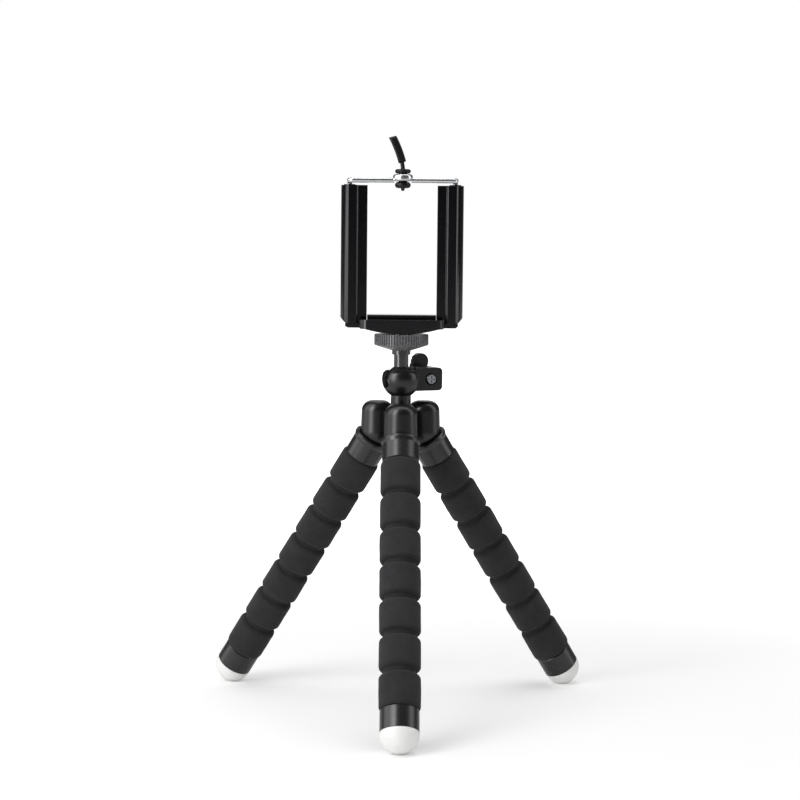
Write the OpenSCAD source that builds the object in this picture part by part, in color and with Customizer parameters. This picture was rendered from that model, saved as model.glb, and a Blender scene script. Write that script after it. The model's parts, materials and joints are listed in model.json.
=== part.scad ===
// Small flexible-leg tripod with a ball head and a sprung phone clip.
// Millimetres, +Z up. The front leg points to -Y. The origin is on the floor,
// at the middle of the space that the three feet span.

/* [Legs] */
// Angle of each leg from the vertical, as it stands
leg_splay = 34; // [30:0.5:36]
// Diameter of the foam sleeve
foam_d = 15.2; // [14.4:0.1:17]
// Distance between two grooves of the foam
foam_pitch = 14; // [12:0.1:16]
// Angle that each flank of a groove leans back
groove_flank = 9; // [8.5:0.25:11]
// Half the gap at the bottom of a groove, where the sleeve bends
groove_root = 0.15; // [0.1:0.05:0.3]
// Diameter of the sleeve at the bottom of a groove
foam_neck_d = 11.4; // [10.6:0.1:11.8]
// Rounding of the sleeve's edges at a groove
shoulder_r = 1.3; // [0.8:0.1:1.8]
// Diameter of the soft steel wire inside a leg
wire_d = 3.2; // [2.6:0.1:4]
// Length of wire held in the collar and in the end ring
wire_grip = 3.2; // [2.4:0.1:3.6]

/* [Leg ends] */
// Length of the collar at the top of a leg
collar_len = 9.6; // [9:0.1:12]
// Diameter of the collar's flared rim
collar_rim_d = 15; // [14.6:0.1:16]
// Diameter of the collar at the foam
collar_end_d = 13.9; // [13.4:0.1:14.4]
// Length of the ring at the bottom of a leg
end_ring_len = 8.2; // [7.6:0.1:10]
// Diameter of the end ring and of the rubber foot
foot_d = 14.2; // [13.4:0.1:15]
// Straight stretch of the foot, between the ring and the round tip
foot_skirt = 0.6; // [0.4:0.1:1.5]
// Diameter of the plug that holds the foot in its ring
foot_plug_d = 5; // [4:0.1:7]
// Length of that plug
foot_plug_len = 3.4; // [2.6:0.1:3.8]
// How much of the round tip is worn flat where it stands
foot_flat = 0.25; // [0.15:0.05:0.4]

/* [Leg hinges] */
// Distance of the leg pivots from the middle of the hub
hinge_r = 10.3; // [10.2:0.1:11.4]
// Diameter of the pin stubs that a leg turns on
trunnion_d = 3; // [2.4:0.1:3.4]
// Thickness of the tongue that carries the stubs
tongue_t = 3.6; // [3:0.1:4]
// Radius of the tongue's eye round the pivot
tongue_r = 2.8; // [2.4:0.1:3]
// Length of each pin stub
trunnion_len = 1.5; // [1:0.1:1.6]
// Depth below the pivot at which the collar's rim starts
rim_drop = 2.6; // [2.5:0.1:3.2]
// How far a leg folds in from where it stands
fold_in = 32; // [20:1:34]

/* [Hub] */
// Diameter of each lobe of the hub at its foot
lobe_d = 12.8; // [12:0.1:13]
// Diameter of each lobe under its rounded top
lobe_top_d = 12.2; // [11.4:0.1:12.4]
// Height of the lobes above the leg pivots
lobe_h = 12.1; // [11:0.1:12.4]
// Rounding of the top of a lobe
lobe_round = 4; // [2:0.1:4.6]
// Diameter of the core that joins the lobes
core_d = 13.4; // [12:0.1:15]
// Top of the core above the leg pivots
core_top = 8.6; // [7.6:0.1:9.2]
// Underside of the core above the leg pivots
core_low = 0.6; // [0:0.1:1.4]
// Depth of the socket for the neck of the ball cup
neck_socket = 5.2; // [4:0.1:5.6]
// Diameter of the screw that holds the ball cup
hub_screw_d = 3; // [2.5:0.1:3.4]
// Depth of the seat of that screw's head
hub_screw_seat = 1; // [0.6:0.1:1.4]
// Diameter of that screw's head
hub_head_d = 5; // [4.4:0.1:5.4]
// Height of that head
hub_head_h = 1.4; // [1:0.1:1.6]

/* [Ball head] */
// Diameter of the ball
ball_d = 11.2; // [10.6:0.1:11.4]
// Height of the ball's centre above the leg pivots
ball_h = 20.7; // [20.4:0.1:23]
// Diameter of the ball cup outside
cup_d = 14.6; // [14:0.1:15]
// Height of the cup's rim above the ball's centre
cup_rim = 3.4; // [3.3:0.1:3.6]
// Angle that the cup, its ears and its notch are turned on the hub
cup_turn = 25; // [15:1:35]
// Diameter of the neck under the cup
neck_d = 7.7; // [7:0.1:7.9]
// Angle that the post tilts before it meets the cup's rim
post_tilt = 18; // [16.5:0.5:20]
// Diameter of the post above the ball
post_d = 5.6; // [5:0.1:5.8]
// Height of the shoulder on top of the post, above the ball's centre
post_h = 11; // [10.6:0.1:13]
// Diameter of that shoulder
shoulder_d = 7.1; // [6.8:0.1:9]
// Thickness of that shoulder
shoulder_t = 1.5; // [1:0.1:2]
// Diameter of the camera thread
thread_d = 6.35; // [6.35:0.05:6.5]
// Length of the stud's shank inside the post
stud_shank_len = 5; // [4:0.1:6]
// Thickness of the post round that shank
stud_wall = 1; // [0.8:0.1:1.2]
// Diameter of the knurled locking ring
ring_d = 20.8; // [18:0.1:21.2]
// Height of the knurled edge
ring_edge = 4.2; // [3.4:0.1:5]
// Height of the cone under the knurled edge
ring_cone = 2.1; // [1.6:0.1:3]
// Depth of the knurls
knurl_depth = 0.2; // [0.15:0.05:0.5]

/* [Ball clamp] */
// Distance of the clamp screw from the ball's centre
clamp_x = 10.8; // [10.7:0.1:11.6]
// Reach of the clamp ears from the ball's centre
ear_reach = 15.6; // [15.2:0.1:17]
// Height of the clamp ears
ear_h = 8.8; // [7.6:0.1:9.4]
// Thickness of each ear
ear_t = 3.6; // [3:0.1:4.4]
// Width of the slit between the ears
slit_w = 1.2; // [0.8:0.1:2]
// Rounding of the ears' corners
ear_round = 1.6; // [0.6:0.1:2.4]
// Diameter of the clamp screw
clamp_screw_d = 3; // [2.5:0.1:3.4]
// Diameter of the clamp screw's head
clamp_head_d = 4.4; // [4:0.1:5.2]
// Height of that head
clamp_head_h = 1; // [0.8:0.1:1.3]
// How deep that head is sunk in its ear
clamp_seat = 0.5; // [0.3:0.1:0.8]
// Distance across the flats of the nut in the lever
nut_flats = 5.5; // [5:0.1:5.8]
// Thickness of that nut
nut_t = 2.4; // [2:0.1:2.8]
// Diameter of the lever's hub
lever_hub_d = 8.4; // [8:0.1:8.8]
// Reach of the lever from the screw
lever_reach = 9.4; // [8.6:0.1:9.8]
// Width of the lever's round end
lever_w = 6.3; // [5:0.1:6.8]
// Thickness of the lever's paddle
lever_t = 2.8; // [2:0.1:3.4]
// Angle of the lever from upright
lever_lean = 14; // [0:1:30]
// Depth of the grip grooves across the lever
grip_groove = 0.5; // [0.3:0.1:0.7]

/* [Clip frame] */
// Width of the clip over both rails
clip_w = 47; // [46:0.2:54]
// Height of the rails
rail_h = 52.6; // [48:0.2:60]
// Width of a rail's tube
tube_w = 6.6; // [6.2:0.1:7.4]
// Depth of a rail's tube
tube_depth = 7.2; // [6.8:0.1:8.4]
// Width of the bevel along the tube's outer front edge
tube_bevel = 1.5; // [1:0.1:1.6]
// How far the outer wall leans out behind that bevel
wall_lean = 1.4; // [1:0.1:1.5]
// Bevel along the tube's inner front edge and outer back edge
tube_edge = 0.5; // [0.3:0.1:0.8]
// Width of the inner flange of a rail
flange_w = 3.5; // [2:0.1:4.5]
// Thickness of that flange
flange_t = 2; // [1.2:0.1:2.6]
// How far that flange lies behind the front of the tube
flange_back = 4; // [3:0.1:4.4]
// Diameter of the hole for the spring
spring_hole_d = 3.8; // [3.8:0.05:4]
// Thickness of the rail's closed bottom
rail_floor = 2.6; // [2.2:0.1:3.4]
// Bevel at the outer foot of a rail
rail_bevel = 1.9; // [1:0.1:2.2]

/* [Clip base] */
// Thickness of the base under the rails
base_t = 1.8; // [1.6:0.1:2.6]
// Height of the base between the rails
base_h = 5; // [4.6:0.1:7]
// Width of the phone shelf
shelf_w = 32; // [28:0.2:33]
// Depth of the phone shelf in front of the rails
shelf_depth = 9.6; // [8.6:0.1:12]
// Height of the shelf above the underside
shelf_h = 2.6; // [2.4:0.1:3.2]
// Height of the lip along the front of the shelf
lip_h = 0.9; // [0.6:0.1:2]
// Thickness of that lip
lip_t = 1.6; // [1.2:0.1:2.4]
// Thickness of the rubber strip on the shelf
strip_t = 0.6; // [0.4:0.1:0.8]
// Distance of the rails' front from the turning axis
rail_front = 0.6; // [0:0.1:1.2]
// Height of the rounded cover under the base
cover_h = 2; // [1.6:0.1:3]
// Width of that cover
cover_w = 28.8; // [26:0.2:34]
// Diameter of the threaded brass insert
insert_d = 8.4; // [8:0.1:9]
// Thickness left above the insert
insert_roof = 0.4; // [0.3:0.1:0.6]
// Diameter of the screws that hold the rails
rail_screw_d = 1.8; // [1.5:0.1:2.2]
// Depth of the seats of those screws' heads
rail_screw_seat = 0.9; // [0.8:0.1:1.1]
// Diameter of those screws' heads
rail_head_d = 3.4; // [3:0.1:3.8]

/* [Sprung yoke] */
// Diameter of the yoke's wire
yoke_d = 1.9; // [1.7:0.05:2]
// Inner radius of the bends to the wire's middle
bend_r = 1.4; // [1.3:0.1:2]
// How far the bar stands forward of the rails' holes
bar_forward = 7.6; // [6:0.1:8.6]
// Radius of the eye in the middle of the bar
eye_r = 2.8; // [2.7:0.1:3.4]
// How far the eye stands up from the bar
eye_rise = 1; // [0.6:0.1:1.2]
// Distance between the two turns of wire in the eye
eye_turn = 0.8; // [0.6:0.1:1]
// Height of the guide in the top of a rail
guide_len = 4; // [3:0.1:5]
// Width and height of the flange on top of a guide
guide_flange = 0.3; // [0.2:0.05:0.5]
// Diameter of the spring's wire
spring_wire_d = 0.5; // [0.4:0.05:0.55]
// Number of turns of a spring
spring_turns = 14; // [10:1:16]
// Height of the stop at the foot of the yoke
stop_h = 2; // [1.5:0.1:2.5]

/* [Pull tab] */
// Diameter of the rubber flanges
grommet_d = 6; // [5.8:0.1:7]
// Thickness of the upper flange
grommet_t = 1.7; // [1.4:0.1:2.2]
// Thickness of the lower flange
lower_t = 2.4; // [1.6:0.1:2.6]
// Length of the tip below it
stalk_len = 1; // [0.6:0.1:1.4]
// Length of the thin neck
tab_neck_len = 3.2; // [2:0.1:5]
// Thickness of the thin neck
tab_neck_w = 1.6; // [1.4:0.1:2.2]
// Length of the tab
tab_len = 9.8; // [8:0.1:12]
// Width of the tab
tab_w = 2.8; // [2.4:0.1:4]
// Thickness of the tab
tab_t = 2.2; // [1.8:0.1:3]
// Angle that the tab leans to the left
tab_lean = 15; // [0:1:30]

/* [Hidden] */
$fn = 64;
running_gap = 0.25;
socket_gap = 0.05;
wire_gap = 0.2;
dish_gap = 0.35;
face_gap = 0.2;
cut = 0.1;
segments = 7;
knurls = 60;
shelf_corner = 3.4;
LEGS = ["left", "right", "front"];
function azimuth(leg) = leg == "left" ? 150 : leg == "right" ? 30 : -90;

// Stations along a leg, measured down from its pivot
collar_end = rim_drop + collar_len;
foam_end = collar_end + segments * foam_pitch;
ring_end = foam_end + end_ring_len;
leg_len = ring_end + foot_skirt;
foot_r = foot_d / 2;

// Places of the leg pivots and of the hub's axis
pivot_z = leg_len * cos(leg_splay) + foot_r - foot_flat;
foot_reach = hinge_r + leg_len * sin(leg_splay);
hub_y = foot_reach / 4;
lobe_r = lobe_d / 2;
dish_r = lobe_r + dish_gap;
slot_w = tongue_t + 2 * running_gap;
slot_r = tongue_r + running_gap;
hub_seat_z = pivot_z + core_low + hub_screw_seat;

// Heights of the ball head
ball_z = pivot_z + ball_h;
ball_r = ball_d / 2;
bowl_r = ball_r + running_gap;
cup_r = cup_d / 2;
post_r = post_d / 2;
mouth_r = cup_rim * tan(post_tilt) + post_r / cos(post_tilt) + 2 * running_gap;
notch_r = post_r + 2 * running_gap;
neck_low = pivot_z + core_top - neck_socket;
ring_z = ball_z + post_h;
ring_top = ring_z + ring_cone + ring_edge;
ear_y = slit_w / 2 + ear_t;
lever_y = ear_y + running_gap;
paddle_y = max(lever_y, cup_r + 2 * running_gap);
lever_back = paddle_y + lever_t;
stud_shank_d = post_d - 2 * stud_wall;

// Heights and places of the clip
cover_z = ring_top + face_gap;
base_z = cover_z + cover_h;
rail_z = base_z + base_t;
rail_top = rail_z + rail_h;
rail_back = rail_front + tube_depth;
tube_x = clip_w / 2 - tube_w / 2;
tube_y = rail_front + tube_depth / 2;
flange_x = clip_w / 2 - tube_w - flange_w;
shelf_front = rail_front - shelf_depth;
insert_top = base_z + shelf_h - insert_roof;
rail_bite = rail_floor - 2 * face_gap;
yoke_r = yoke_d / 2;
guide_flange_d = spring_hole_d + 2 * guide_flange;
guide_top = rail_top + guide_flange;
bar_z = guide_top + bend_r + socket_gap;
bar_y = tube_y - bar_forward;
stop_z = rail_z + rail_floor + face_gap;
spring_low = stop_z + stop_h + socket_gap;
spring_high = rail_top - guide_len - socket_gap;
spring_r = (spring_hole_d - spring_wire_d) / 2 - wire_gap;

NODES = concat(
    ["hub_body", "hub_screw", "ball_cup", "clamp_screw", "clamp_lever", "clamp_nut",
     "ball_post", "camera_stud", "locking_ring", "clip_base", "base_cover", "thread_insert",
     "rail_screws", "shelf_strip", "left_rail", "right_rail", "rail_guides",
     "left_spring", "right_spring", "yoke", "yoke_stops", "pull_tab"],
    [for (leg = LEGS) each concat(
        [str(leg, "_collar"), str(leg, "_core_wire"), str(leg, "_end_ring"), str(leg, "_foot")],
        [for (k = [1:segments]) str(leg, "_foam_", k)])]);
node = "all";
function shown(name) = node == "all" || node == name;

// Placing

module on_axis(z = 0) {
    translate([0, hub_y, z]) children();
}

module at_pivot(leg) {
    on_axis(pivot_z) rotate([0, 0, azimuth(leg)]) translate([hinge_r, 0, 0]) children();
}

// Along a leg: +X points outwards, -Z runs down the leg
module along_leg(leg) {
    at_pivot(leg) rotate([0, -leg_splay, 0]) children();
}

module on_cup(z = 0) {
    on_axis(z) rotate([0, 0, cup_turn]) children();
}

module at_both_rails() {
    for (side = [-1, 1]) on_axis() translate([side * tube_x, tube_y, 0]) children();
}

// A cylinder along Y, centred on the origin
module crosswise(d, length) {
    rotate([90, 0, 0]) cylinder(d = d, h = length, center = true);
}

module cross_recess(d, depth) {
    arm = d / 5;
    translate([0, 0, -depth]) for (turn = [0, 90]) rotate([0, 0, turn])
        translate([-d / 2, -arm / 2, 0]) cube([d, arm, depth + cut]);
}

module pan_screw(d, length, head_d, head_h) {
    recess_share = 0.62;
    difference() {
        union() {
            translate([0, 0, -length]) cylinder(d = d, h = length + cut);
            cylinder(d1 = head_d, d2 = head_d * 0.8, h = head_h);
        }
        translate([0, 0, head_h]) cross_recess(head_d * recess_share, head_h * recess_share);
    }
}

// Hub

module hub_lobe() {
    top_r = lobe_top_d / 2;
    dome = min(lobe_round, 0.8 * top_r);
    sphere(d = lobe_d);
    cylinder(d1 = lobe_d, d2 = lobe_top_d, h = lobe_h - dome);
    translate([0, 0, lobe_h - dome]) {
        cylinder(r = top_r - dome, h = dome);
        rotate_extrude() intersection() {
            translate([top_r - dome, 0]) circle(r = dome);
            square([top_r, dome]);
        }
    }
}

// Room for the tongue of a leg, from folded in to fully out
module tongue_slot() {
    rotate([90, 0, 0]) linear_extrude(height = slot_w, center = true) {
        circle(r = slot_r + socket_gap);
        for (angle = [leg_splay - fold_in, leg_splay - fold_in / 2, leg_splay])
            rotate(angle) translate([-slot_r, -lobe_d]) square([2 * slot_r, lobe_d]);
    }
}

module hub_body() {
    color("#161617") difference() {
        union() {
            for (leg = LEGS) at_pivot(leg) hub_lobe();
            on_axis(pivot_z + core_low) cylinder(d = core_d, h = core_top - core_low);
        }
        for (leg = LEGS) at_pivot(leg) {
            tongue_slot();
            crosswise(trunnion_d + 2 * socket_gap, slot_w + 2 * trunnion_len);
        }
        on_axis(neck_low) cylinder(d = neck_d + 2 * socket_gap, h = lobe_h);
        on_axis(pivot_z - cut) cylinder(d = hub_screw_d + 2 * wire_gap, h = core_top);
        on_axis(pivot_z - cut) cylinder(d = hub_head_d + 2 * wire_gap, h = hub_seat_z - pivot_z + cut);
    }
}

module hub_screw() {
    color("#8d9094") on_axis(hub_seat_z) rotate([180, 0, 0])
        pan_screw(hub_screw_d, neck_low + neck_socket - hub_seat_z, hub_head_d, hub_head_h);
}

// Ball cup with its clamp ears

module ear_outline() {
    low = -ear_h / 2;
    translate([0, low]) square([ear_reach - ear_round, ear_h]);
    translate([0, low + ear_round]) square([ear_reach, ear_h - 2 * ear_round]);
    for (z = [low + ear_round, -low - ear_round])
        translate([ear_reach - ear_round, z]) circle(r = ear_round);
}

module ball_cup() {
    edge = 0.6;
    rim_r = sqrt(cup_r * cup_r - cup_rim * cup_rim);
    color("#1b1b1c") difference() {
        union() {
            on_cup(ball_z) rotate_extrude() intersection() {
                circle(r = cup_r);
                polygon([[0, -cup_r], [cup_r, -cup_r], [cup_r, cup_rim - 2 * edge],
                         [rim_r - edge, cup_rim], [0, cup_rim]]);
            }
            on_cup(neck_low) cylinder(d = neck_d, h = ball_z - neck_low);
            on_cup(ball_z) rotate([90, 0, 0]) linear_extrude(height = 2 * ear_y, center = true)
                ear_outline();
        }
        on_cup(ball_z) sphere(r = bowl_r);
        on_cup(ball_z + cup_rim) cylinder(r = rim_r - edge, h = cup_r);
        on_cup(ball_z) cylinder(r = mouth_r, h = cup_rim + cut);
        // Slit that lets the ears close on the ball
        on_cup(ball_z) translate([bowl_r / 2, -slit_w / 2, -cup_r])
            cube([ear_reach, slit_w, 2 * cup_r]);
        // Notch opposite the ears that the post drops into
        on_cup(ball_z) rotate([0, -90, 0]) cylinder(r = notch_r, h = cup_d);
        on_cup(ball_z) translate([-cup_d, -notch_r, 0]) cube([cup_d, 2 * notch_r, cup_d]);
        on_cup(ball_z) translate([clamp_x, 0, 0])
            crosswise(clamp_screw_d + 2 * wire_gap, 2 * ear_y + 2 * cut);
        on_cup(ball_z) translate([clamp_x, -ear_y, 0])
            crosswise(clamp_head_d + 2 * wire_gap, 2 * clamp_seat);
        on_cup(neck_low - cut)
            cylinder(d = hub_screw_d + 2 * socket_gap, h = neck_socket + face_gap + cut);
    }
}

module clamp_screw() {
    tip_y = lever_back - grip_groove;
    color("#b9bcc0") on_cup(ball_z) translate([clamp_x, clamp_seat - ear_y, 0]) rotate([90, 0, 0])
        pan_screw(clamp_screw_d, tip_y + ear_y - clamp_seat, clamp_head_d, clamp_head_h);
}

module at_lever() {
    on_cup(ball_z) translate([clamp_x, 0, 0]) rotate([0, lever_lean, 0]) children();
}

module lever_outline() {
    end_r = lever_w / 2;
    circle(d = lever_hub_d);
    translate([0, lever_reach - end_r]) circle(r = end_r);
    translate([-end_r, 0]) square([lever_w, lever_reach - end_r]);
}

module nut_outline(flats) {
    circle(d = flats / cos(30), $fn = 6);
}

module clamp_lever() {
    grip_pitch = lever_w / 4;
    grip_z = lever_reach - lever_w / 2;
    color("#202022") difference() {
        union() {
            at_lever() translate([0, lever_back, 0]) rotate([90, 0, 0])
                cylinder(d = lever_hub_d, h = lever_back - lever_y);
            at_lever() translate([0, lever_back, 0]) rotate([90, 0, 0])
                linear_extrude(height = lever_t) lever_outline();
        }
        at_lever() translate([0, lever_y, 0]) crosswise(clamp_screw_d + 2 * wire_gap, 4 * lever_back);
        at_lever() translate([0, lever_y + nut_t + socket_gap, 0]) rotate([90, 0, 0])
            linear_extrude(height = nut_t + socket_gap + cut) nut_outline(nut_flats + 2 * socket_gap);
        // Grip grooves across the paddle
        for (step = [0:2]) at_lever()
            translate([-lever_w, lever_back - grip_groove, grip_z + (step - 1) * grip_pitch])
                cube([2 * lever_w, 2 * grip_groove, grip_groove]);
    }
}

module clamp_nut() {
    color("#a7aaae") at_lever() difference() {
        translate([0, lever_y + nut_t, 0]) rotate([90, 0, 0])
            linear_extrude(height = nut_t) nut_outline(nut_flats);
        translate([0, lever_y, 0]) crosswise(clamp_screw_d + 2 * socket_gap, 4 * nut_t);
    }
}

// Ball, post and locking ring

module ball_post() {
    color("#18181a") difference() {
        union() {
            on_axis(ball_z) sphere(r = ball_r);
            on_axis(ball_z) cylinder(r = post_r, h = post_h);
            on_axis(ring_z - shoulder_t) cylinder(d = shoulder_d, h = shoulder_t);
        }
        on_axis(ring_z - stud_shank_len) cylinder(d = stud_shank_d, h = stud_shank_len + cut);
    }
}

module camera_stud() {
    tip = 0.6;
    stud_top = insert_top - face_gap;
    color("#c4c6c9") {
        on_axis(ring_z - stud_shank_len + face_gap)
            cylinder(d = stud_shank_d - 2 * socket_gap, h = stud_shank_len);
        on_axis(ring_z) cylinder(d = thread_d, h = stud_top - ring_z - tip);
        on_axis(stud_top - tip) cylinder(d1 = thread_d, d2 = thread_d - 2 * tip, h = tip);
    }
}

module knurled_outline() {
    polygon([for (i = [0:2 * knurls - 1])
        let (r = ring_d / 2 - (i % 2) * knurl_depth, a = 180 * i / knurls)
        r * [cos(a), sin(a)]]);
}

module locking_ring() {
    color("#2a2a2c") difference() {
        union() {
            on_axis(ring_z + ring_cone) linear_extrude(height = ring_edge) knurled_outline();
            on_axis(ring_z)
                cylinder(d1 = shoulder_d, d2 = ring_d - 2 * knurl_depth, h = ring_cone + cut);
        }
        on_axis(ring_z - cut) cylinder(d = thread_d + running_gap, h = ring_top);
    }
}

// Clip base

module base_outline() {
    half = clip_w / 2 - rail_bevel;
    nick = base_t / 2;
    polygon([[-half, 0], [-half + nick, -nick], [half - nick, -nick], [half, 0],
             [half, nick], [-half, nick]]);
}

module clip_base() {
    block_w = 2 * (flange_x - face_gap);
    lip_x = shelf_w / 2 - shelf_corner;
    color("#151519") difference() {
        union() {
            on_axis(base_z + base_t / 2) translate([0, rail_back, 0]) rotate([90, 0, 0])
                linear_extrude(height = tube_depth) base_outline();
            on_axis(base_z) translate([-block_w / 2, rail_front, 0])
                cube([block_w, tube_depth, base_h]);
            on_axis(base_z) linear_extrude(height = shelf_h + lip_h) shelf_outline();
        }
        on_axis(base_z + shelf_h) translate([-lip_x, shelf_front + lip_t, 0])
            cube([2 * lip_x, shelf_depth - lip_t, lip_h + cut]);
        on_axis(base_z + shelf_h) translate([-shelf_w / 2 - cut, shelf_front + 2 * lip_t, 0])
            cube([shelf_w + 2 * cut, shelf_depth - 2 * lip_t, lip_h + cut]);
        on_axis(base_z - cut) cylinder(d = insert_d + 2 * socket_gap, h = insert_top - base_z + cut);
        at_both_rails() translate([0, 0, base_z - cut]) {
            cylinder(d = rail_screw_d + 2 * wire_gap, h = base_t + 2 * cut);
            cylinder(d = rail_head_d + 2 * wire_gap, h = rail_screw_seat + cut);
        }
    }
}

module shelf_outline() {
    half = shelf_w / 2;
    translate([-half, shelf_front + shelf_corner])
        square([shelf_w, shelf_depth - shelf_corner]);
    translate([shelf_corner - half, shelf_front])
        square([shelf_w - 2 * shelf_corner, shelf_depth]);
    for (side = [-1, 1]) translate([side * (half - shelf_corner), shelf_front + shelf_corner])
        circle(r = shelf_corner);
}

module shelf_strip() {
    strip_w = shelf_w - 2 * shelf_corner - 2 * face_gap;
    color("#2c2c2e") on_axis(base_z + shelf_h) translate([-strip_w / 2, shelf_front + lip_t + face_gap, 0])
        cube([strip_w, shelf_depth - lip_t - 2 * face_gap, strip_t]);
}

module base_cover() {
    arc_r = (pow(cover_w / 2, 2) + pow(cover_h, 2)) / (2 * cover_h);
    front = shelf_front + lip_t;
    color("#131315") difference() {
        on_axis(cover_z) translate([0, rail_back - face_gap, 0]) rotate([90, 0, 0])
            linear_extrude(height = rail_back - face_gap - front) intersection() {
                translate([0, arc_r]) circle(r = arc_r, $fn = 4 * $fn);
                translate([-cover_w / 2, 0]) square([cover_w, cover_h]);
            }
        on_axis(cover_z - cut) cylinder(d = insert_d + 2 * socket_gap, h = cover_h + 2 * cut);
    }
}

module thread_insert() {
    color("#b08d3f") difference() {
        on_axis(cover_z + face_gap) cylinder(d = insert_d, h = insert_top - cover_z - face_gap);
        on_axis(cover_z) cylinder(d = thread_d + running_gap, h = insert_top);
    }
}

module rail_screws() {
    grip = rail_bite - face_gap;
    color("#8d9094") at_both_rails() translate([0, 0, base_z + rail_screw_seat]) rotate([180, 0, 0])
        pan_screw(rail_screw_d, base_t - rail_screw_seat + grip, rail_head_d, rail_screw_seat - face_gap);
}

// Rails, with the outer side at +X

module tube_outline() {
    half_w = tube_w / 2;
    half_d = tube_depth / 2;
    bevel_x = half_w - wall_lean - tube_bevel;
    wide_y = half_d - 3 * tube_edge;
    polygon([[-half_w, tube_edge - half_d], [tube_edge - half_w, -half_d], [bevel_x, -half_d],
             [bevel_x + tube_bevel, tube_bevel - half_d], [half_w, wide_y],
             [half_w, half_d - tube_edge], [half_w - tube_edge, half_d], [-half_w, half_d]]);
}

module rail() {
    bevel_side = rail_bevel / cos(45);
    difference() {
        linear_extrude(height = rail_h) {
            tube_outline();
            translate([-tube_w / 2 - flange_w, flange_back - tube_depth / 2])
                square([flange_w + cut, flange_t]);
        }
        translate([0, 0, rail_floor]) cylinder(d = spring_hole_d, h = rail_h);
        translate([0, 0, -cut]) cylinder(d = rail_screw_d + 2 * socket_gap, h = rail_bite + cut);
        // Bevel at the outer foot
        translate([tube_w / 2, 0, 0]) rotate([0, 45, 0])
            cube([bevel_side, 2 * tube_depth, bevel_side], center = true);
    }
}

module left_rail() {
    color("#17171c") on_axis(rail_z) translate([-tube_x, tube_y, 0]) mirror([1, 0, 0]) rail();
}

module right_rail() {
    color("#17171c") on_axis(rail_z) translate([tube_x, tube_y, 0]) rail();
}

module rail_guides() {
    color("#0f0f10") at_both_rails() difference() {
        union() {
            translate([0, 0, rail_top]) cylinder(d = guide_flange_d, h = guide_flange);
            translate([0, 0, rail_top - guide_len])
                cylinder(d = spring_hole_d - 2 * socket_gap, h = guide_len + guide_flange);
        }
        translate([0, 0, rail_top - 2 * guide_len]) cylinder(d = yoke_d + 2 * wire_gap, h = 4 * guide_len);
    }
}

// Springs: one unbroken round wire, wound at an even pitch

coil_rings = 8;
coil_sides = 6;
coil_steps = spring_turns * coil_rings;
coil_rise = spring_high - spring_low - spring_wire_d;
coil_pitch = coil_rise / spring_turns;
function coil_point(i) = let (a = 360 * i / coil_rings)
    [spring_r * cos(a), spring_r * sin(a), coil_rise * i / coil_steps];
function coil_ring(i) = let (a = 360 * i / coil_rings, p = coil_point(i))
    [for (s = [0:coil_sides - 1]) let (b = 360 * s / coil_sides, w = spring_wire_d / 2)
        p + w * [cos(b) * cos(a), cos(b) * sin(a), sin(b)]];
coil_gap = min([for (i = [0:coil_steps - coil_rings])
    norm(coil_point(i + coil_rings) - coil_point(i)) - spring_wire_d]);
echo(least_gap_between_spring_turns = coil_gap);

module coil() {
    points = [for (i = [0:coil_steps]) each coil_ring(i)];
    last = coil_steps * coil_sides;
    faces = concat(
        [for (i = [0:coil_steps - 1], s = [0:coil_sides - 1], half = [0:1])
            let (a = i * coil_sides + s, b = i * coil_sides + (s + 1) % coil_sides)
            half == 0 ? [a, a + coil_sides, b] : [b, a + coil_sides, b + coil_sides]],
        [for (s = [1:coil_sides - 2]) [0, s, s + 1]],
        [for (s = [1:coil_sides - 2]) [last, last + s + 1, last + s]]);
    polyhedron(points = points, faces = faces);
}

module spring(side) {
    color("#9b9ea3") on_axis(spring_low + spring_wire_d / 2)
        translate([side * tube_x, tube_y, 0]) coil();
}

module left_spring() {
    spring(-1);
}

module right_spring() {
    spring(1);
}

// Yoke: one bent wire with an eye in the middle of its bar

module quarter_bend() {
    rotate_extrude(angle = 90) translate([bend_r, 0]) circle(d = yoke_d);
}

module yoke_half() {
    leg_top = bar_z - bend_r;
    bar_start = eye_r + yoke_r / 2;
    translate([tube_x, tube_y, stop_z]) cylinder(d = yoke_d, h = leg_top - stop_z);
    translate([tube_x, tube_y - bend_r, leg_top]) rotate([90, 0, 90]) quarter_bend();
    translate([tube_x, (tube_y + bar_y) / 2, bar_z]) crosswise(yoke_d, bar_forward - 2 * bend_r);
    translate([tube_x - bend_r, bar_y + bend_r, bar_z]) rotate([0, 0, -90]) quarter_bend();
    translate([bar_start, bar_y, bar_z]) rotate([0, 90, 0])
        cylinder(d = yoke_d, h = tube_x - bend_r - bar_start);
}

module yoke() {
    color("#d5d7da") on_axis() {
        yoke_half();
        mirror([1, 0, 0]) yoke_half();
        translate([0, bar_y, bar_z + eye_rise]) rotate_extrude() translate([eye_r, 0]) {
            for (turn = [-0.5, 0.5]) translate([0, turn * eye_turn]) circle(d = yoke_d);
            square([yoke_d, eye_turn], center = true);
        }
    }
}

module yoke_stops() {
    color("#8d9094") at_both_rails() translate([0, 0, stop_z]) difference() {
        cylinder(d = spring_hole_d - 2 * wire_gap, h = stop_h);
        translate([0, 0, -cut]) cylinder(d = yoke_d + 2 * socket_gap, h = stop_h + 2 * cut);
    }
}

// Rubber pull tab, buttoned through the eye

module rounded_disc(d, t) {
    rotate_extrude() {
        translate([d / 2 - t / 2, t / 2]) circle(d = t);
        square([d / 2 - t / 2, t]);
    }
}

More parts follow.
